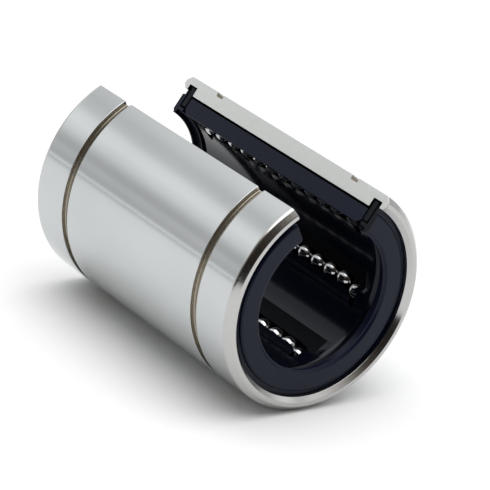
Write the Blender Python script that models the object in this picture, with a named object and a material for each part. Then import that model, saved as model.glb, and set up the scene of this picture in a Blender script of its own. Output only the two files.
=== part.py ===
"""Open linear ball bushing for a 30 mm shaft, lying on its sleeve with the slot upwards.

The shaft axis runs along X and the slot opens towards +Z. The origin is on the
supporting surface, under the middle of the sleeve. Angles round the axis are
measured from the middle of the slot (+Z) towards +Y.
"""

import math

import bmesh
import bpy
from mathutils import Matrix, Vector

MM = 0.001

# The standard size: shaft, outside diameter, length and snap ring grooves.
SHAFT_RADIUS = 15.0 * MM
SLEEVE_RADIUS = 22.5 * MM
SLEEVE_LENGTH = 64.0 * MM
SNAP_GROOVE_SPAN = 44.5 * MM
SNAP_GROOVE_WIDTH = 1.85 * MM
SNAP_GROOVE_RADIUS = 21.5 * MM
SLOT_HALF_ANGLE = math.radians(30.0)

# Balls and the circuits that they run in.
BALL_RADIUS = 1.9845 * MM
BALL_PITCH = 4.08 * MM
BALLS_PER_LEG = 10
CIRCUITS = 5
CIRCUIT_STEP = math.radians(60.0)
FIRST_LOADED_ANGLE = math.radians(42.0)
RETURN_OFFSET_ANGLE = math.radians(20.0)
LOADED_PATH_RADIUS = SHAFT_RADIUS + BALL_RADIUS
RETURN_PATH_RADIUS = LOADED_PATH_RADIUS + 1.0 * MM
TURN_BALL_ANGLE = math.radians(45.0)
NECK_RADIUS = 0.5 * MM

# The sleeve's ends and bore.
RACE_RADIUS = 19.02 * MM
RELIEF_RADIUS = 20.3 * MM
RELIEF_START_ANGLE = math.radians(7.5)
RELIEF_END_ANGLE = math.radians(26.5)
MOUTH_RADIUS = 20.0 * MM
RIM_ROUND = 1.0 * MM
MOUTH_CHAMFER = 0.6 * MM
RING_GROOVE_RADIUS = 20.85 * MM
RING_GROOVE_INNER_X = 28.0 * MM
RING_GROOVE_OUTER_X = 30.4 * MM

# The plastic pieces inside the sleeve, with the gaps between neighbours.
GAP = 0.3 * MM
PLASTIC_SLOT_SETBACK = math.radians(0.6)
RETAINER_BORE_RADIUS = 15.3 * MM
RETAINER_RADIUS = 18.6 * MM
RETAINER_MOUTH_RADIUS = 16.2 * MM
RETAINER_MOUTH_DEPTH = 1.2 * MM
TRACK_HALF_WIDTH = 2.2 * MM
TRACK_TOP = 3.4 * MM
RING_BORE_RADIUS = 16.4 * MM
RING_RADIUS = 20.55 * MM
RING_THICKNESS = 1.3 * MM
SEAL_RADIUS = MOUTH_RADIUS - GAP
SEAL_THICKNESS = 1.1 * MM
SEAL_STEP_RADIUS = 18.7 * MM
SEAL_STEP_DEPTH = 0.5 * MM
SEAL_LIP_ROOT_RADIUS = 15.9 * MM
SEAL_LIP_RADIUS = 15.05 * MM
SEAL_LIP_REACH = 0.3 * MM

# Fineness of the turned and swept surfaces.
SLEEVE_SEGMENTS = 39
PLASTIC_SEGMENTS = 39
BALL_SEGMENTS = 6
BALL_BANDS = 3
TRACK_FLOOR_STEPS = 4
TRACK_TURN_STEPS = 8

HALF_LENGTH = SLEEVE_LENGTH / 2
AXIS_HEIGHT = SLEEVE_RADIUS
LEG_HALF_LENGTH = BALLS_PER_LEG * BALL_PITCH / 2
RETAINER_HALF_LENGTH = RING_GROOVE_INNER_X
CUTTER_OVERRUN = 0.6 * MM


def clear_scene():
    for obj in list(bpy.data.objects):
        bpy.data.objects.remove(obj, do_unlink=True)


def material(name, color, metallic, roughness):
    made = bpy.data.materials.new(name)
    made.use_nodes = True
    shader = made.node_tree.nodes["Principled BSDF"]
    shader.inputs["Base Color"].default_value = (*color, 1.0)
    shader.inputs["Metallic"].default_value = metallic
    shader.inputs["Roughness"].default_value = roughness
    return made


def object_from(name, mesh_builder, surface=None, parent=None):
    """Turns a bmesh into a named object with its faces pointing out."""
    bmesh.ops.recalc_face_normals(mesh_builder, faces=mesh_builder.faces)
    mesh = bpy.data.meshes.new(name)
    mesh_builder.to_mesh(mesh)
    mesh_builder.free()
    mesh.shade_smooth()
    mesh.set_sharp_from_angle(angle=math.radians(30.0))
    obj = bpy.data.objects.new(name, mesh)
    bpy.context.scene.collection.objects.link(obj)
    if surface:
        mesh.materials.append(surface)
    if parent:
        obj.parent = parent
    return obj


def round_direction(angle):
    """The unit vector out of the shaft axis at an angle from the middle of the slot."""
    return Vector((0.0, math.sin(angle), math.cos(angle)))


def axis_point(along, radius, angle):
    return Vector((along, 0.0, AXIS_HEIGHT)) + radius * round_direction(angle)


def turned_sector(outline, start, end, steps):
    """Spins a closed outline of (along, radius) points about the shaft axis."""
    builder = bmesh.new()
    corners = [builder.verts.new(axis_point(along, radius, start)) for along, radius in outline]
    face = builder.faces.new(corners)
    # Angles here run from +Z towards +Y, which is a negative turn about +X.
    bmesh.ops.spin(
        builder,
        geom=[face, *face.edges, *face.verts],
        cent=(0.0, 0.0, AXIS_HEIGHT),
        axis=(1.0, 0.0, 0.0),
        angle=start - end,
        steps=steps,
    )
    return builder


def mirrored_outline(half):
    """Closes an outline given for +X with its mirror image for -X."""
    return half + [(-along, radius) for along, radius in reversed(half)]


def cut(target, cutter):
    cutter.hide_render = True
    cutter.display_type = "WIRE"
    modifier = target.modifiers.new(cutter.name, "BOOLEAN")
    modifier.operation = "DIFFERENCE"
    modifier.solver = "EXACT"
    modifier.object = cutter


def loaded_angle(index):
    return FIRST_LOADED_ANGLE + index * CIRCUIT_STEP


def circuit_frame(index):
    """The plane of a circuit: X along the bushing, Y from the loaded leg to the return leg,
    Z out of the bushing, and the turn radius that joins the two legs."""
    loaded = axis_point(0.0, LOADED_PATH_RADIUS, loaded_angle(index))
    returning = axis_point(0.0, RETURN_PATH_RADIUS, loaded_angle(index) + RETURN_OFFSET_ANGLE)
    across = (returning - loaded).normalized()
    along = Vector((1.0, 0.0, 0.0))
    outward = along.cross(across)
    frame = Matrix((along, across, outward)).transposed().to_4x4()
    frame.translation = (loaded + returning) / 2
    return frame, (returning - loaded).length / 2


def build_outer_sleeve(surface):
    """Hardened sleeve with snap ring grooves outside, ring grooves inside and the slot."""
    groove_outer = SNAP_GROOVE_SPAN / 2
    groove_inner = groove_outer - SNAP_GROOVE_WIDTH
    rim_middle = RIM_ROUND * (1.0 - math.sqrt(0.5))
    half = [
        (groove_inner, SLEEVE_RADIUS),
        (groove_inner, SNAP_GROOVE_RADIUS),
        (groove_outer, SNAP_GROOVE_RADIUS),
        (groove_outer, SLEEVE_RADIUS),
        (HALF_LENGTH - RIM_ROUND, SLEEVE_RADIUS),
        (HALF_LENGTH - rim_middle, SLEEVE_RADIUS - rim_middle),
        (HALF_LENGTH, SLEEVE_RADIUS - RIM_ROUND),
        (HALF_LENGTH, MOUTH_RADIUS + MOUTH_CHAMFER),
        (HALF_LENGTH - MOUTH_CHAMFER, MOUTH_RADIUS),
        (RING_GROOVE_OUTER_X, MOUTH_RADIUS),
        (RING_GROOVE_OUTER_X, RING_GROOVE_RADIUS),
        (RING_GROOVE_INNER_X, RING_GROOVE_RADIUS),
        (RING_GROOVE_INNER_X, RACE_RADIUS),
    ]
    builder = turned_sector(
        mirrored_outline(half), SLOT_HALF_ANGLE, 2 * math.pi - SLOT_HALF_ANGLE, SLEEVE_SEGMENTS
    )
    sleeve = object_from("outer_sleeve", builder, surface)
    for index in range(CIRCUITS):
        cut(sleeve, build_relief_cutter(index))
    return sleeve


def build_relief_cutter(index):
    """The channel in the sleeve's bore that leaves room for the returning balls."""
    reach = RING_GROOVE_INNER_X + CUTTER_OVERRUN
    floor = RACE_RADIUS - 2 * CUTTER_OVERRUN
    outline = [(reach, floor), (reach, RELIEF_RADIUS), (-reach, RELIEF_RADIUS), (-reach, floor)]
    start = loaded_angle(index) + RELIEF_START_ANGLE
    end = loaded_angle(index) + RELIEF_END_ANGLE
    builder = turned_sector(outline, start, end, 3)
    return object_from(f"relief_cutter_{index + 1}", builder)


def track_path(turn_radius):
    """Points of the racetrack with the direction that leads out of it, in the circuit's plane."""
    path = []
    for end, first in ((1.0, -90.0), (-1.0, 90.0)):
        for step in range(TRACK_TURN_STEPS + 1):
            angle = math.radians(first + 180.0 * step / TRACK_TURN_STEPS)
            out = Vector((math.cos(angle), math.sin(angle), 0.0))
            path.append((Vector((end * LEG_HALF_LENGTH, 0.0, 0.0)) + turn_radius * out, out))
    return path


def build_track_cutter(index):
    """A round-bottomed channel swept along one ball circuit, open towards the sleeve."""
    frame, turn_radius = circuit_frame(index)
    section = [(-TRACK_HALF_WIDTH, TRACK_TOP)]
    for step in range(TRACK_FLOOR_STEPS + 1):
        angle = math.pi * (1.0 + step / TRACK_FLOOR_STEPS)
        section.append((TRACK_HALF_WIDTH * math.cos(angle), TRACK_HALF_WIDTH * math.sin(angle)))
    section.append((TRACK_HALF_WIDTH, TRACK_TOP))
    builder = bmesh.new()
    rings = []
    for centre, out in track_path(turn_radius):
        points = [centre + side * out + Vector((0.0, 0.0, up)) for side, up in section]
        rings.append([builder.verts.new(frame @ point) for point in points])
    for ring, following in zip(rings, rings[1:] + rings[:1]):
        for this in range(len(section)):
            after = (this + 1) % len(section)
            builder.faces.new((ring[this], ring[after], following[after], following[this]))
    return object_from(f"track_cutter_{index + 1}", builder)


def build_ball_retainer(surface):
    """Moulded cage: windows over the loaded balls, closed floors under the returning ones."""
    mouth_step = RETAINER_MOUTH_RADIUS - RETAINER_BORE_RADIUS
    half = [
        (RETAINER_HALF_LENGTH, RETAINER_RADIUS),
        (RETAINER_HALF_LENGTH, RETAINER_MOUTH_RADIUS),
        (RETAINER_HALF_LENGTH - RETAINER_MOUTH_DEPTH, RETAINER_MOUTH_RADIUS),
        (RETAINER_HALF_LENGTH - RETAINER_MOUTH_DEPTH - mouth_step, RETAINER_BORE_RADIUS),
    ]
    start = SLOT_HALF_ANGLE + PLASTIC_SLOT_SETBACK
    builder = turned_sector(mirrored_outline(half), start, 2 * math.pi - start, PLASTIC_SEGMENTS)
    retainer = object_from("ball_retainer", builder, surface)
    for index in range(CIRCUITS):
        cut(retainer, build_track_cutter(index))
    return retainer


def build_end_ring(name, side, surface):
    """Split ring that sits in the sleeve's inner groove and stops the retainer."""
    near = side * (RETAINER_HALF_LENGTH + GAP)
    far = near + side * RING_THICKNESS
    outline = [(near, RING_BORE_RADIUS), (far, RING_BORE_RADIUS), (far, RING_RADIUS), (near, RING_RADIUS)]
    start = SLOT_HALF_ANGLE + PLASTIC_SLOT_SETBACK
    builder = turned_sector(outline, start, 2 * math.pi - start, PLASTIC_SEGMENTS)
    return object_from(name, builder, surface)


def build_end_seal(name, side, surface):
    """Flat seal in the sleeve's mouth with a thin lip that wipes the shaft."""
    back = RETAINER_HALF_LENGTH + RING_THICKNESS + 2 * GAP
    face = back + SEAL_THICKNESS
    tip = face + SEAL_LIP_REACH
    half = [
        (back, SEAL_RADIUS),
        (face - SEAL_STEP_DEPTH, SEAL_RADIUS),
        (face - SEAL_STEP_DEPTH, SEAL_STEP_RADIUS),
        (face, SEAL_STEP_RADIUS),
        (face, SEAL_LIP_ROOT_RADIUS),
        (tip, SEAL_LIP_RADIUS),
        (face - SEAL_LIP_REACH, SEAL_LIP_RADIUS + SEAL_LIP_REACH),
        (back, SEAL_LIP_ROOT_RADIUS),
    ]
    outline = [(side * along, radius) for along, radius in half]
    start = SLOT_HALF_ANGLE + PLASTIC_SLOT_SETBACK
    builder = turned_sector(outline, start, 2 * math.pi - start, PLASTIC_SEGMENTS)
    return object_from(name, builder, surface)


def bead_string(count, pitch):
    """Balls in a line along X, centred on the origin and joined by thin necks."""
    neck_angle = math.asin(NECK_RADIUS / BALL_RADIUS)
    stations = []
    for bead in range(count):
        middle = (bead - (count - 1) / 2) * pitch
        first = 0.0 if bead == 0 else neck_angle
        last = math.pi if bead == count - 1 else math.pi - neck_angle
        for band in range(BALL_BANDS + 1):
            angle = first + (last - first) * band / BALL_BANDS
            stations.append((middle - BALL_RADIUS * math.cos(angle), BALL_RADIUS * math.sin(angle)))
    builder = bmesh.new()
    start_pole = builder.verts.new((stations[0][0], 0.0, 0.0))
    end_pole = builder.verts.new((stations[-1][0], 0.0, 0.0))
    rings = []
    for along, radius in stations[1:-1]:
        ring = []
        for segment in range(BALL_SEGMENTS):
            turn = 2 * math.pi * segment / BALL_SEGMENTS
            ring.append(builder.verts.new((along, radius * math.cos(turn), radius * math.sin(turn))))
        rings.append(ring)
    for segment in range(BALL_SEGMENTS):
        after = (segment + 1) % BALL_SEGMENTS
        builder.faces.new((start_pole, rings[0][after], rings[0][segment]))
        builder.faces.new((end_pole, rings[-1][segment], rings[-1][after]))
        for ring, following in zip(rings, rings[1:]):
            builder.faces.new((ring[segment], ring[after], following[after], following[segment]))
    return builder


def build_row(name, across, surface, circuit):
    """The balls of one straight leg of a circuit."""
    row = object_from(name, bead_string(BALLS_PER_LEG, BALL_PITCH), surface, circuit)
    row.location = (0.0, across, 0.0)


def build_turn(name, side, turn_radius, surface, circuit):
    """The two balls in one end of a circuit, about the middle of the turn."""
    offset = turn_radius * math.sin(TURN_BALL_ANGLE)
    builder = bead_string(2, 2 * offset)
    bmesh.ops.rotate(builder, verts=builder.verts, matrix=Matrix.Rotation(math.pi / 2, 3, "Z"))
    bmesh.ops.translate(builder, verts=builder.verts, vec=(side * offset, 0.0, 0.0))
    turn = object_from(name, builder, surface, circuit)
    turn.location = (side * LEG_HALF_LENGTH, 0.0, 0.0)


def build_circuit(index, surface):
    frame, turn_radius = circuit_frame(index)
    circuit = bpy.data.objects.new(f"circuit_{index + 1}", None)
    bpy.context.scene.collection.objects.link(circuit)
    circuit.matrix_world = frame
    build_row(f"{circuit.name}_loaded_row", -turn_radius, surface, circuit)
    build_row(f"{circuit.name}_return_row", turn_radius, surface, circuit)
    build_turn(f"{circuit.name}_front_turn", 1.0, turn_radius, surface, circuit)
    build_turn(f"{circuit.name}_rear_turn", -1.0, turn_radius, surface, circuit)


def main():
    clear_scene()
    ground_steel = material("ground_steel", (0.66, 0.67, 0.66), 1.0, 0.28)
    black_plastic = material("black_plastic", (0.018, 0.021, 0.028), 0.0, 0.32)
    seal_rubber = material("seal_rubber", (0.024, 0.028, 0.036), 0.0, 0.45)
    ring_plastic = material("ring_plastic", (0.012, 0.013, 0.016), 0.0, 0.5)
    ball_steel = material("ball_steel", (0.78, 0.79, 0.80), 1.0, 0.06)
    build_outer_sleeve(ground_steel)
    build_ball_retainer(black_plastic)
    for name, side in (("front", 1.0), ("rear", -1.0)):
        build_end_ring(f"{name}_end_ring", side, ring_plastic)
        build_end_seal(f"{name}_end_seal", side, seal_rubber)
    for index in range(CIRCUITS):
        build_circuit(index, ball_steel)


main()
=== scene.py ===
"""Open linear ball bushing, modelled at the 30 mm shaft size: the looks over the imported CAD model.

The shaft axis runs along X at z = 22.5 mm and the slot opens towards +Z. Angles round the
axis are measured from the middle of the slot (+Z) towards +Y. Lengths are in millimetres
until they are multiplied by MM. Outlines are lists of (along, radius, corner radius).
"""

import math

import bmesh
import bpy
from mathutils import Matrix, Vector


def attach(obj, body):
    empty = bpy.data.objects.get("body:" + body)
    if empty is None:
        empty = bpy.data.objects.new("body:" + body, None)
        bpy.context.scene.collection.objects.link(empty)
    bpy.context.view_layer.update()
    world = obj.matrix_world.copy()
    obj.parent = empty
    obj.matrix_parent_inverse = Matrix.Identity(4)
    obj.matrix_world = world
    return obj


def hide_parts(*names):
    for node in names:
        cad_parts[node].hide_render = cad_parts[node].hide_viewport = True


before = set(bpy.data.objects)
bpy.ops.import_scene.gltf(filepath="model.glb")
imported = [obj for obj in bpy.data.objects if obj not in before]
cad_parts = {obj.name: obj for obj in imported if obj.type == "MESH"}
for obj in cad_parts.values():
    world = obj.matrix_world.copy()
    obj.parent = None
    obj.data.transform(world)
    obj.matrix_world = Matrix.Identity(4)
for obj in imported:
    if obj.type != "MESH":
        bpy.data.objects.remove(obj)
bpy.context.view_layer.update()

MM = 0.001
AXIS_Z = 22.5
SLOT_HALF = math.radians(30.0)
PLASTIC_SLOT_HALF = math.radians(30.6)

# The sleeve.
SLEEVE_R = 22.445
HALF_LENGTH = 32.0
END_CHAMFER = 1.15
MOUTH_CHAMFER = 0.85
GROOVE_OUTER_X = 22.25
GROOVE_INNER_X = 20.4
GROOVE_R = 21.5
RACE_R = 19.02
RELIEF_R = 20.3
# The relief begins nearer the loaded row than the CAD's 7.5 degrees, to clear round balls.
RELIEF_START = math.radians(5.0)
RELIEF_END = math.radians(26.5)
MOUTH_R = 19.65
RING_GROOVE_R = 20.85
RING_GROOVE_INNER_X = 28.0
RING_GROOVE_OUTER_X = 30.4

# Balls and circuits.
BALL_R = 1.9845
BALL_PITCH = 4.08
BALLS_PER_LEG = 10
CIRCUITS = 5
LOADED_ANGLES = [math.radians(42.0 + 60.0 * index) for index in range(CIRCUITS)]
RETURN_OFFSET = math.radians(20.0)
LOADED_PATH_R = 16.9845
RETURN_PATH_R = 17.9845
LEG_HALF = BALLS_PER_LEG * BALL_PITCH / 2
TURN_BALL_ANGLE = math.radians(45.0)
TRACK_R = 2.06
TRACK_TOP = 3.4

# The retainer.
BORE_R = 15.3
RETAINER_R = 18.6
RETAINER_HALF = 28.0
RETAINER_CHAMFER = 0.9
WELL_R = 16.05
SHELF_R = 15.14
WELL_STEP = 0.12
WELL_HALF = 26.3
# The bore's radius at turns in degrees from a loaded row: a step, a ramp out to the row, a shelf.
WELL_TURNS = [
    (-17.12, BORE_R), (-17.0, BORE_R + WELL_STEP), (-3.2, WELL_R),
    (-0.4, SHELF_R), (8.0, SHELF_R), (11.0, BORE_R),
]

# The rings and seals.
RING_NEAR = RETAINER_HALF + 0.35
RING_FAR = RING_NEAR + 1.2
RING_INNER_R = 16.4
RING_OUTER_R = 20.55
SEAL_BACK = 29.9
SEAL_FACE = 31.0
SEAL_FLANGE_R = 19.7
LIP_R = 14.4
COLLAR_R = 15.35
COLLAR_OUTER_R = COLLAR_R + 0.7

SHARP_DEGREES = 38.0
SWEEP_STEPS = 240


# ---------------------------------------------------------------- geometry helpers


def around(along, radius, angle):
    """The point at a radius (mm) and angle round the shaft axis, in metres."""
    return MM * Vector((along, radius * math.sin(angle), AXIS_Z + radius * math.cos(angle)))


def rounded(corners, steps=4, support=0.06):
    """Rounds the corners of a closed (along, radius, corner radius) outline.

    Each straight side gets an extra point next to its corners, which keeps its shading flat.
    """
    outline = []
    count = len(corners)
    for index, (x, r, size) in enumerate(corners):
        before = Vector(corners[index - 1][:2])
        after = Vector(corners[(index + 1) % count][:2])
        here = Vector((x, r))
        back = (before - here).normalized()
        onward = (after - here).normalized()
        spread = back.angle(onward)
        if size <= 0 or spread > math.radians(179):
            outline.append(tuple(here))
            continue
        reach = size / math.tan(spread / 2)
        centre = here + (back + onward).normalized() * size / math.sin(spread / 2)
        first = here + back * reach
        last = here + onward * reach
        if (before - here).length > reach + 4 * support:
            outline.append(tuple(first + back * support))
        start = (first - centre).normalized()
        end = (last - centre).normalized()
        sweep_angle = start.angle(end)
        for step in range(steps + 1):
            share = step / steps
            a = math.sin((1 - share) * sweep_angle) / math.sin(sweep_angle)
            b = math.sin(share * sweep_angle) / math.sin(sweep_angle)
            outline.append(tuple(centre + size * (a * start + b * end)))
        if (after - here).length > reach + 4 * support:
            outline.append(tuple(last + onward * support))
    return outline


def inset(outline, depth):
    """Moves a closed outline into its own material by a small depth."""
    area = 0.0
    count = len(outline)
    for index in range(count):
        x0, r0 = outline[index]
        x1, r1 = outline[(index + 1) % count]
        area += x0 * r1 - x1 * r0
    side = 1.0 if area > 0 else -1.0
    moved = []
    for index in range(count):
        here = Vector(outline[index])
        into = (here - Vector(outline[index - 1])).normalized()
        out = (Vector(outline[(index + 1) % count]) - here).normalized()
        n_into = Vector((-into.y, into.x)) * side
        n_out = Vector((-out.y, out.x)) * side
        moved.append(tuple(here + depth * (n_into + n_out) / max(0.4, 1 + n_into.dot(n_out))))
    return moved


def end_stations(angle, sign, edge):
    """(angle, sideways shift, inset) of the rings that round off one end of a sweep."""
    stations = [(angle, 0.0, edge * 1.5), (angle, 0.0, edge)]
    for step in (1, 2, 3):
        turn = math.radians(30.0 * step)
        stations.append((angle, sign * edge * (1 - math.cos(turn)), edge * (1 - math.sin(turn))))
    stations.append((angle, sign * edge * 1.8, 0.0))
    return stations


def swept(name, outline_at, start, end, steps, edge=0.07, extra=()):
    """Sweeps a closed outline about the shaft axis, with flat ends that have rounded edges."""
    middle = [start + (end - start) * k / steps for k in range(1, steps)]
    middle = sorted([*middle, *extra])
    stations = end_stations(start, 1.0, edge)
    stations += [(angle, 0.0, 0.0) for angle in middle]
    stations += reversed(end_stations(end, -1.0, edge))
    builder = bmesh.new()
    rings = []
    for angle, shift, depth in stations:
        outline = outline_at(angle)
        if depth > 0:
            outline = inset(outline, depth)
        rings.append([builder.verts.new(around(x, r, angle + shift / r)) for x, r in outline])
    count = len(rings[0])
    for ring, following in zip(rings, rings[1:]):
        for this in range(count):
            after = (this + 1) % count
            builder.faces.new((ring[this], ring[after], following[after], following[this]))
    builder.faces.new(rings[0])
    builder.faces.new(rings[-1])
    return finished(name, builder)


def finished(name, builder):
    """Turns a bmesh into a linked object, smooth except at its sharp edges."""
    bmesh.ops.recalc_face_normals(builder, faces=builder.faces)
    mesh = bpy.data.meshes.new(name)
    builder.to_mesh(mesh)
    builder.free()
    mesh.shade_smooth()
    mesh.set_sharp_from_angle(angle=math.radians(SHARP_DEGREES))
    obj = bpy.data.objects.new(name, mesh)
    bpy.context.scene.collection.objects.link(obj)
    return obj


def mirrored(half):
    """The whole outline of a section from its +X half."""
    return half + [(-x, r, size) for x, r, size in reversed(half)]


def circuit_frame(index):
    """The circuit's plane in millimetres: X along the bushing, Y from loaded to return leg."""
    def centre(radius, angle):
        return around(0.0, radius, angle) / MM
    loaded = centre(LOADED_PATH_R, LOADED_ANGLES[index])
    returning = centre(RETURN_PATH_R, LOADED_ANGLES[index] + RETURN_OFFSET)
    along = Vector((1.0, 0.0, 0.0))
    across = (returning - loaded).normalized()
    outward = along.cross(across)
    place = Matrix((along, across, outward)).transposed().to_4x4()
    place.translation = (loaded + returning) / 2
    return place, (returning - loaded).length / 2


# ---------------------------------------------------------------- materials


def set_stops(ramp, stops):
    """Gives a colour ramp its (position, colour or grey level) stops."""
    elements = ramp.color_ramp.elements
    while len(elements) < len(stops):
        elements.new(0.5)
    for element, (place, color) in zip(elements, stops):
        element.position = place
        element.color = (*color, 1.0) if isinstance(color, tuple) else (color, color, color, 1.0)


class Shader:
    """Short-hand for building one procedural material."""

    def __init__(self, name):
        self.material = bpy.data.materials.new(name)
        self.material.use_nodes = True
        self.tree = self.material.node_tree
        self.out = self.tree.nodes["Principled BSDF"]

    def node(self, kind, **settings):
        made = self.tree.nodes.new(kind)
        for key, value in settings.items():
            setattr(made, key, value)
        return made

    def link(self, source, target):
        self.tree.links.new(source, target)

    def value(self, socket, value):
        self.out.inputs[socket].default_value = value

    def scaled(self, scale):
        """World position, moved to the shaft axis and scaled, for the textures."""
        mapping = self.node("ShaderNodeMapping")
        mapping.inputs["Location"].default_value = (0.0, 0.0, -AXIS_Z * MM * scale[2])
        mapping.inputs["Scale"].default_value = scale
        self.link(self.node("ShaderNodeTexCoord").outputs["Object"], mapping.inputs["Vector"])
        return mapping.outputs["Vector"]

    def noise(self, scale, detail=3.0, roughness=0.5, vector=None):
        made = self.node("ShaderNodeTexNoise")
        made.inputs["Scale"].default_value = scale
        made.inputs["Detail"].default_value = detail
        made.inputs["Roughness"].default_value = roughness
        if vector is not None:
            self.link(vector, made.inputs["Vector"])
        return made.outputs["Fac"]

    def ramp(self, source, stops):
        """Maps a number through (position, colour) stops."""
        made = self.node("ShaderNodeValToRGB")
        set_stops(made, stops)
        self.link(source, made.inputs["Fac"])
        return made.outputs["Color"]

    def math(self, operation, first, second=None, third=None):
        made = self.node("ShaderNodeMath", operation=operation)
        for socket, value in zip(made.inputs, (first, second, third)):
            if value is None:
                continue
            if isinstance(value, (int, float)):
                socket.default_value = value
            else:
                self.link(value, socket)
        return made.outputs["Value"]

    def mix(self, fac, first, second):
        made = self.node("ShaderNodeMix", data_type="RGBA")
        for socket, value in zip((made.inputs[0], made.inputs[6], made.inputs[7]), (fac, first, second)):
            if isinstance(value, (int, float)):
                socket.default_value = value
            elif isinstance(value, tuple):
                socket.default_value = (*value, 1.0)
            else:
                self.link(value, socket)
        return made.outputs[2]

    def bump(self, height, strength, distance):
        made = self.node("ShaderNodeBump")
        made.inputs["Strength"].default_value = strength
        made.inputs["Distance"].default_value = distance
        self.link(height, made.inputs["Height"])
        self.link(made.outputs["Normal"], self.out.inputs["Normal"])

    def radius(self):
        """Distance from the shaft axis in millimetres."""
        flat = self.node("ShaderNodeVectorMath", operation="MULTIPLY_ADD")
        flat.inputs[1].default_value = (0.0, 1 / MM, 1 / MM)
        flat.inputs[2].default_value = (0.0, 0.0, -AXIS_Z)
        self.link(self.node("ShaderNodeTexCoord").outputs["Object"], flat.inputs[0])
        length = self.node("ShaderNodeVectorMath", operation="LENGTH")
        self.link(flat.outputs["Vector"], length.inputs[0])
        return length.outputs["Value"]


def ground_steel():
    """Hardened steel, centreless ground: fine lines round the sleeve, slightly uneven gloss."""
    s = Shader("ground_steel")
    s.value("Metallic", 1.0)
    # The grinding lines run round the sleeve, so their texture is stretched off the X axis.
    lines = s.noise(1.0, 4.0, 0.6, s.scaled((9000.0, 60.0, 60.0)))
    broad = s.noise(1.0, 2.0, 0.5, s.scaled((40.0, 90.0, 90.0)))
    specks = s.noise(2600.0, 2.0, 0.6)
    groove = s.math("LESS_THAN", s.radius(), GROOVE_R + 0.75)
    worn = s.math("MULTIPLY", groove, s.math("GREATER_THAN", s.radius(), GROOVE_R - 0.1))
    plain = s.ramp(broad, [(0.3, (0.5, 0.52, 0.522)), (0.7, (0.533, 0.552, 0.553))])
    s.link(s.mix(worn, plain, (0.43, 0.4, 0.34)), s.out.inputs["Base Color"])
    gloss = s.ramp(lines, [(0.3, 0.055), (0.7, 0.1)])
    s.link(s.mix(worn, gloss, (0.3, 0.3, 0.3)), s.out.inputs["Roughness"])
    height = s.math("MULTIPLY_ADD", specks, 0.3, lines)
    s.bump(height, 0.12, 0.00002)
    return s.material


def cut_steel():
    """The slot's walls: pale, matt, with short uneven marks along the cut."""
    s = Shader("cut_steel")
    s.value("Metallic", 1.0)
    marks = s.noise(1.0, 5.0, 0.6, s.scaled((500.0, 2600.0, 2600.0)))
    blotch = s.noise(260.0, 3.0, 0.55)
    pale = s.ramp(blotch, [(0.3, (0.61, 0.625, 0.615)), (0.7, (0.69, 0.702, 0.692))])
    s.link(pale, s.out.inputs["Base Color"])
    s.link(s.ramp(marks, [(0.3, 0.42), (0.7, 0.56)]), s.out.inputs["Roughness"])
    s.bump(marks, 0.25, 0.00003)
    return s.material


def turned_steel():
    """The end rims: turned, bright, with very fine rings."""
    s = Shader("turned_steel")
    s.value("Metallic", 1.0)
    rings = s.node("ShaderNodeTexNoise", noise_dimensions="1D")
    rings.inputs["Scale"].default_value = 14.0
    rings.inputs["Detail"].default_value = 3.0
    s.link(s.radius(), rings.inputs["W"])
    smudge = s.noise(300.0, 3.0, 0.6)
    tone = s.ramp(smudge, [(0.35, (0.44, 0.44, 0.435)), (0.65, (0.5, 0.5, 0.49))])
    s.link(tone, s.out.inputs["Base Color"])
    s.link(s.ramp(smudge, [(0.3, 0.1), (0.7, 0.2)]), s.out.inputs["Roughness"])
    s.bump(rings.outputs["Fac"], 0.2, 0.00002)
    return s.material


def bearing_steel():
    """Polished ball steel with a faint film of oil, its colour darker than real polished steel's: painted
    shade for the balls inside the bushing.
    """
    s = Shader("ball_steel")
    s.value("Metallic", 1.0)
    film = s.noise(900.0, 2.0, 0.5)
    s.link(s.ramp(film, [(0.3, (0.43, 0.44, 0.45)), (0.7, (0.5, 0.505, 0.51))]), s.out.inputs["Base Color"])
    s.link(s.ramp(film, [(0.3, 0.03), (0.7, 0.08)]), s.out.inputs["Roughness"])
    return s.material


def moulded_black(name, color, rough_low, rough_high, grain, strength, shine):
    """Blue-black moulded plastic with a fine mould grain."""
    s = Shader(name)
    s.value("Specular IOR Level", shine)
    s.value("Specular Tint", (0.86, 0.92, 1.0, 1.0))
    fine = s.noise(grain, 4.0, 0.6)
    cloud = s.noise(180.0, 3.0, 0.5)
    darker = tuple(0.8 * c for c in color)
    s.link(s.ramp(cloud, [(0.3, darker), (0.7, color)]), s.out.inputs["Base Color"])
    s.link(s.ramp(cloud, [(0.3, rough_low), (0.7, rough_high)]), s.out.inputs["Roughness"])
    s.bump(fine, strength, 0.00002)
    return s.material


def floor_material():
    """The plain pale floor."""
    s = Shader("studio_floor")
    cloud = s.noise(3.0, 2.0, 0.5)
    s.link(s.ramp(cloud, [(0.3, (0.88, 0.885, 0.89)), (0.7, (0.9, 0.905, 0.91))]), s.out.inputs["Base Color"])
    s.value("Roughness", 0.9)
    s.value("Specular IOR Level", 0.1)
    return s.material


STEEL = ground_steel()
CUT = cut_steel()
TURNED = turned_steel()
BALLS = bearing_steel()
WALL = moulded_black("retainer_wall", (0.0035, 0.0055, 0.018), 0.36, 0.46, 2200.0, 0.25, 0.19)
# The bore's copy of the retainer's plastic is darker than the wall's: painted shade for the inside of the
# bushing.
BORE = moulded_black("retainer_bore", (0.0022, 0.003, 0.0075), 0.1, 0.16, 1500.0, 0.03, 0.23)
# The pockets' copy of the retainer's plastic is darker and duller than the bore's: painted shade for the
# track channels and the recessed wells.
POCKET_SHADE = moulded_black("retainer_pocket_shade", (0.002, 0.0025, 0.004), 0.4, 0.5, 1500.0, 0.2, 0.05)
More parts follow.
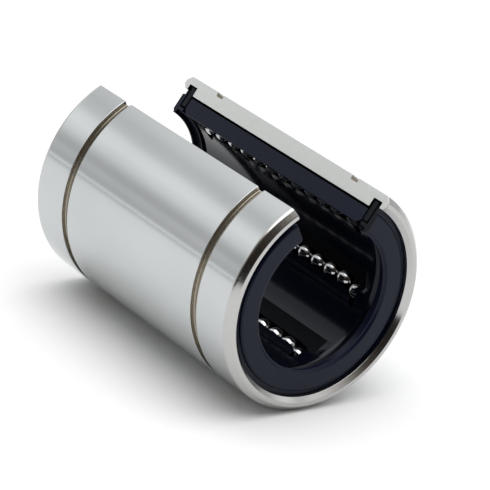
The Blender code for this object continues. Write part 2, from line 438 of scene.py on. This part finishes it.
# The end rings' own black plastic, also used as painted shade on the front seal's cut ends.
RING_AND_CUT_SHADE = moulded_black("ring_plastic", (0.005, 0.006, 0.008), 0.4, 0.5, 1800.0, 0.3, 0.15)
SEAL = moulded_black("seal_face", (0.0035, 0.0055, 0.018), 0.28, 0.36, 2400.0, 0.2, 0.19)


def axis_radius(point):
    """A point's distance from the shaft axis, in millimetres."""
    return Vector((point.y / MM, point.z / MM - AXIS_Z)).length


def at_slot_wall(point, half_angle):
    """Whether a point lies on one of the two flat walls of the slot."""
    angle = abs(math.atan2(point.y / MM, point.z / MM - AXIS_Z))
    return angle < half_angle + math.radians(0.05)


def paint(obj, materials, choose):
    """Gives each face the material that choose(centre, |x| in mm, radius in mm, normal) picks."""
    for material in materials:
        obj.data.materials.append(material)
    for face in obj.data.polygons:
        centre = face.center
        face.material_index = choose(centre, abs(centre.x) / MM, axis_radius(centre), face.normal)


# ---------------------------------------------------------------- the sleeve


def relief_edges():
    """The angles where the bore steps out for the returning balls and back in."""
    return [(loaded + RELIEF_START, loaded + RELIEF_END) for loaded in LOADED_ANGLES]


def sleeve_outline(angle):
    """The sleeve's section, with the bore stepped out inside a relief."""
    inside = any(low <= angle <= high for low, high in relief_edges())
    land = RELIEF_R if inside else RACE_R
    half = [
        (GROOVE_INNER_X, SLEEVE_R, 0.12),
        (GROOVE_INNER_X, GROOVE_R, 0.18),
        (GROOVE_OUTER_X, GROOVE_R, 0.18),
        (GROOVE_OUTER_X, SLEEVE_R, 0.12),
        (HALF_LENGTH - END_CHAMFER, SLEEVE_R, 0.9),
        (HALF_LENGTH, SLEEVE_R - END_CHAMFER, 0.45),
        (HALF_LENGTH, MOUTH_R + MOUTH_CHAMFER, 0.12),
        (HALF_LENGTH - MOUTH_CHAMFER, MOUTH_R, 0.12),
        (RING_GROOVE_OUTER_X, MOUTH_R, 0.12),
        (RING_GROOVE_OUTER_X, RING_GROOVE_R, 0.15),
        (RING_GROOVE_INNER_X, RING_GROOVE_R, 0.15),
        (RING_GROOVE_INNER_X, land, 0.12),
    ]
    return rounded(mirrored(half), steps=6)


def build_sleeve():
    step = math.radians(0.15)
    extra = []
    for low, high in relief_edges():
        extra += [low - step, low, high, high + step]
    end = 2 * math.pi - SLOT_HALF
    sleeve = swept("sleeve_body", sleeve_outline, SLOT_HALF, end, SWEEP_STEPS, extra=extra)

    def choose(centre, x, r, normal):
        if at_slot_wall(centre, SLOT_HALF):
            return 1
        if x > RING_GROOVE_OUTER_X + 0.1 and abs(normal.x) > 0.15:
            return 2
        return 0

    paint(sleeve, [STEEL, CUT, TURNED], choose)
    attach(sleeve, "housing")
    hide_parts("outer_sleeve")


# ---------------------------------------------------------------- the retainer


def track_cutter(index):
    """A round-bottomed channel swept along one ball circuit, open towards the sleeve."""
    place, turn_r = circuit_frame(index)
    floor_steps = 16
    section = [(-TRACK_R, TRACK_TOP)]
    for step in range(floor_steps + 1):
        angle = math.pi * (1 + step / floor_steps)
        section.append((TRACK_R * math.cos(angle), TRACK_R * math.sin(angle)))
    section.append((TRACK_R, TRACK_TOP))
    path = []
    for end, first in ((1.0, -90.0), (-1.0, 90.0)):
        for step in range(25):
            angle = math.radians(first + 180.0 * step / 24)
            out = Vector((math.cos(angle), math.sin(angle), 0.0))
            path.append((Vector((end * LEG_HALF, 0.0, 0.0)) + turn_r * out, out))
    builder = bmesh.new()
    rings = []
    for centre, out in path:
        ring = []
        for side, up in section:
            ring.append(builder.verts.new(MM * (place @ (centre + side * out + Vector((0, 0, up))))))
        rings.append(ring)
    for ring, following in zip(rings, rings[1:] + rings[:1]):
        for this in range(len(section)):
            after = (this + 1) % len(section)
            builder.faces.new((ring[this], ring[after], following[after], following[this]))
    cutter = finished(f"track_cutter_{index + 1}", builder)
    # The channel's faces take the darker pocket plastic: painted shade.
    cutter.data.materials.append(POCKET_SHADE)
    return cutter


def well_radius(angle):
    """The bore's radius, stepped beside every loaded row but the first."""
    for loaded in LOADED_ANGLES[1:]:
        turn = math.degrees(angle - loaded)
        for (t0, r0), (t1, r1) in zip(WELL_TURNS, WELL_TURNS[1:]):
            if t0 <= turn <= t1:
                return r0 + (r1 - r0) * (turn - t0) / (t1 - t0)
    return BORE_R


def well_edges():
    """The angles where the bore's shape changes beside each loaded row."""
    return [loaded + math.radians(turn) for loaded in LOADED_ANGLES[1:] for turn, _ in WELL_TURNS]


def retainer_outline(angle):
    """The retainer's section; its corners at the wells are sharp, so their count never changes."""
    half = [
        (RETAINER_HALF, RETAINER_R, 0.2),
        (RETAINER_HALF, BORE_R + RETAINER_CHAMFER, 0.15),
        (RETAINER_HALF - RETAINER_CHAMFER, BORE_R, 1.1),
        (WELL_HALF + 0.1, BORE_R, 0),
        (WELL_HALF, BORE_R, 0),
        (WELL_HALF - 1.6, well_radius(angle), 0),
        (WELL_HALF - 1.7, well_radius(angle), 0),
    ]
    return rounded(mirrored(half), steps=5)


def build_retainer():
    start = PLASTIC_SLOT_HALF
    end = 2 * math.pi - PLASTIC_SLOT_HALF
    retainer = swept("retainer_body", retainer_outline, start, end, SWEEP_STEPS, extra=well_edges())

    def choose(centre, x, r, normal):
        if at_slot_wall(centre, PLASTIC_SLOT_HALF) or r > BORE_R + 0.95:
            return 0
        # The recessed well is given the darker pocket plastic: painted shade.
        if x < WELL_HALF - 1.5 and r > BORE_R + 0.1:
            return 2
        return 1

    paint(retainer, [WALL, BORE, POCKET_SHADE], choose)
    cutters = [track_cutter(index) for index in range(CIRCUITS)]
    for cutter in cutters:
        modifier = retainer.modifiers.new("track", "BOOLEAN")
        modifier.operation = "DIFFERENCE"
        modifier.solver = "EXACT"
        modifier.object = cutter
        modifier.material_mode = "TRANSFER"
    bake_modifiers(retainer)
    for cutter in cutters:
        bpy.data.objects.remove(cutter, do_unlink=True)
    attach(retainer, "housing")
    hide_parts("ball_retainer")


def bake_modifiers(obj):
    """Replaces an object's mesh with its evaluated mesh and clears its modifiers."""
    graph = bpy.context.evaluated_depsgraph_get()
    mesh = bpy.data.meshes.new_from_object(obj.evaluated_get(graph))
    obj.modifiers.clear()
    obj.data = mesh
    mesh.set_sharp_from_angle(angle=math.radians(SHARP_DEGREES))


# ---------------------------------------------------------------- rings and seals


def build_end_ring(name, sign, node):
    corners = [
        (sign * RING_NEAR, RING_INNER_R, 0.12),
        (sign * RING_FAR, RING_INNER_R, 0.12),
        (sign * RING_FAR, RING_OUTER_R, 0.12),
        (sign * RING_NEAR, RING_OUTER_R, 0.12),
    ]

    def outline(angle):
        return rounded(corners, steps=3)

    ring = swept(name, outline, PLASTIC_SLOT_HALF, 2 * math.pi - PLASTIC_SLOT_HALF, 200)
    ring.data.materials.append(RING_AND_CUT_SHADE)
    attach(ring, "housing")
    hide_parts(node)


def build_end_seal(name, sign, node):
    corners = [
        (SEAL_BACK, SEAL_FLANGE_R, 0.1),
        (SEAL_BACK + 0.4, SEAL_FLANGE_R, 0.1),
        (SEAL_BACK + 0.4, 18.65, 0.12),
        (SEAL_FACE - 0.25, 18.62, 0.1),
        (SEAL_FACE, 18.3, 0.15),
        (SEAL_FACE, 15.1, 0.1),
        (SEAL_FACE - 0.4, LIP_R + 0.3, 0.08),
        (SEAL_FACE - 0.45, LIP_R, 0.06),
        (SEAL_FACE - 0.9, LIP_R, 0.06),
        (SEAL_FACE - 1.2, COLLAR_R, 0.15),
        (RING_NEAR, COLLAR_R, 0.12),
        (RING_NEAR, COLLAR_OUTER_R, 0.1),
        (SEAL_BACK, COLLAR_OUTER_R, 0.08),
    ]

    def outline(angle):
        return rounded([(sign * x, r, size) for x, r, size in corners], steps=4)

    start = PLASTIC_SLOT_HALF
    end = 2 * math.pi - PLASTIC_SLOT_HALF
    seal = swept(name, outline, start, end, SWEEP_STEPS, edge=0.03)

    def choose(centre, x, r, normal):
        # The front seal's cut ends are painted matt black with the ring's plastic: painted shade. The rear
        # seal's are like the rest of it.
        return 1 if sign > 0 and at_slot_wall(centre, PLASTIC_SLOT_HALF) else 0

    paint(seal, [SEAL, RING_AND_CUT_SHADE], choose)
    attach(seal, "housing")
    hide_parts(node)


# ---------------------------------------------------------------- the balls


def build_balls(name, centres, node):
    """Separate balls, one mesh for each moving group."""
    builder = bmesh.new()
    for centre in centres:
        bmesh.ops.create_uvsphere(
            builder, u_segments=32, v_segments=16, radius=BALL_R * MM, matrix=Matrix.Translation(MM * centre)
        )
    balls = finished(name, builder)
    balls.data.materials.append(BALLS)
    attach(balls, f"{node}_balls")
    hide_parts(node)


def build_circuit(index):
    place, turn_r = circuit_frame(index)
    name = f"circuit_{index + 1}"
    for leg, across in (("loaded_row", -turn_r), ("return_row", turn_r)):
        centres = []
        for ball in range(BALLS_PER_LEG):
            along = (ball - (BALLS_PER_LEG - 1) / 2) * BALL_PITCH
            centres.append(place @ Vector((along, across, 0.0)))
        build_balls(f"balls_{name}_{leg}", centres, f"{name}_{leg}")
    for turn, sign in (("front_turn", 1.0), ("rear_turn", -1.0)):
        centres = []
        for side in (-1.0, 1.0):
            along = sign * (LEG_HALF + turn_r * math.cos(TURN_BALL_ANGLE))
            centres.append(place @ Vector((along, side * turn_r * math.sin(TURN_BALL_ANGLE), 0.0)))
        build_balls(f"balls_{name}_{turn}", centres, f"{name}_{turn}")


# ---------------------------------------------------------------- floor, light and camera


def build_floor():
    builder = bmesh.new()
    bmesh.ops.create_grid(builder, x_segments=1, y_segments=1, size=6.0)
    floor = finished("studio_floor", builder)
    floor.location.z = -0.00002
    floor.data.materials.append(floor_material())


def build_world():
    """A soft studio: a light line at the table's edge, a broad band above, a darker room in front."""
    world = bpy.data.worlds.new("studio")
    world.use_nodes = True
    tree = world.node_tree
    background = tree.nodes["Background"]
    direction = tree.nodes.new("ShaderNodeTexCoord").outputs["Generated"]
    split = tree.nodes.new("ShaderNodeSeparateXYZ")
    tree.links.new(direction, split.inputs["Vector"])
    ramp = tree.nodes.new("ShaderNodeValToRGB")
    stops = [
        (0.0, 1.0), (0.028, 1.0), (0.042, 0.66), (0.07, 0.66), (0.15, 0.74), (0.22, 0.62), (0.27, 0.68),
        (0.36, 0.98), (0.46, 1.16), (0.53, 1.1), (0.58, 0.86), (0.64, 0.78), (0.69, 1.0), (0.72, 1.14),
        (1.0, 1.2),
    ]
    set_stops(ramp, [(place, (level / 2, level / 2, level / 2)) for place, level in stops])
    tree.links.new(split.outputs["Z"], ramp.inputs["Fac"])
    # The room in front of the table is dim, so that edges which face it turn dark.
    facing = tree.nodes.new("ShaderNodeVectorMath")
    facing.operation = "DOT_PRODUCT"
    facing.inputs[1].default_value = (0.75, -0.64, 0.17)
    tree.links.new(direction, facing.inputs[0])
    room = tree.nodes.new("ShaderNodeValToRGB")
    stops = [
        (0.12, (1.0, 1.0, 1.0)), (0.3, (0.8, 0.79, 0.78)), (0.5, (0.55, 0.53, 0.52)),
        (0.68, (0.25, 0.23, 0.21)), (0.84, (0.09, 0.075, 0.065)), (0.96, (0.03, 0.024, 0.02)),
    ]
    set_stops(room, stops)
    tree.links.new(facing.outputs["Value"], room.inputs["Fac"])
    product = tree.nodes.new("ShaderNodeVectorMath")
    product.operation = "MULTIPLY"
    tree.links.new(ramp.outputs["Color"], product.inputs[0])
    tree.links.new(room.outputs["Color"], product.inputs[1])
    tree.links.new(product.outputs["Vector"], background.inputs["Color"])
    background.inputs["Strength"].default_value = 2.1
    bpy.context.scene.world = world


def build_lights():
    data = bpy.data.lights.new("overhead", "AREA")
    data.shape = "DISK"
    data.size = 1.3
    data.energy = 8.2
    light = bpy.data.objects.new("overhead", data)
    light.location = (0.1, -0.15, 1.1)
    light.rotation_euler = (Vector((0.0, 0.0, 0.02)) - light.location).to_track_quat("-Z", "Y").to_euler()
    bpy.context.scene.collection.objects.link(light)


def build_camera():
    forward = Vector((-0.70083, 0.60529, -0.37744)).normalized()
    right = Vector((0.59219, 0.78868, 0.16521))
    right = (right - right.dot(forward) * forward).normalized()
    up = right.cross(forward)
    data = bpy.data.cameras.new("studio_camera")
    data.sensor_width = 36.0
    data.lens = 204.47
    data.clip_start = 0.05
    data.clip_end = 20.0
    camera = bpy.data.objects.new("studio_camera", data)
    turn = Matrix((right, up, -forward)).transposed().to_4x4()
    turn.translation = MM * Vector((375.817, -318.802, 199.229 + AXIS_Z))
    camera.matrix_world = turn
    bpy.context.scene.collection.objects.link(camera)
    bpy.context.scene.camera = camera


build_sleeve()
build_retainer()
for end_name, end_sign in (("front", 1.0), ("rear", -1.0)):
    build_end_ring(f"{end_name}_ring_body", end_sign, f"{end_name}_end_ring")
    build_end_seal(f"{end_name}_seal_body", end_sign, f"{end_name}_end_seal")
for circuit in range(CIRCUITS):
    build_circuit(circuit)
build_floor()
build_world()
build_lights()
build_camera()
bpy.context.scene.view_settings.view_transform = "Standard"
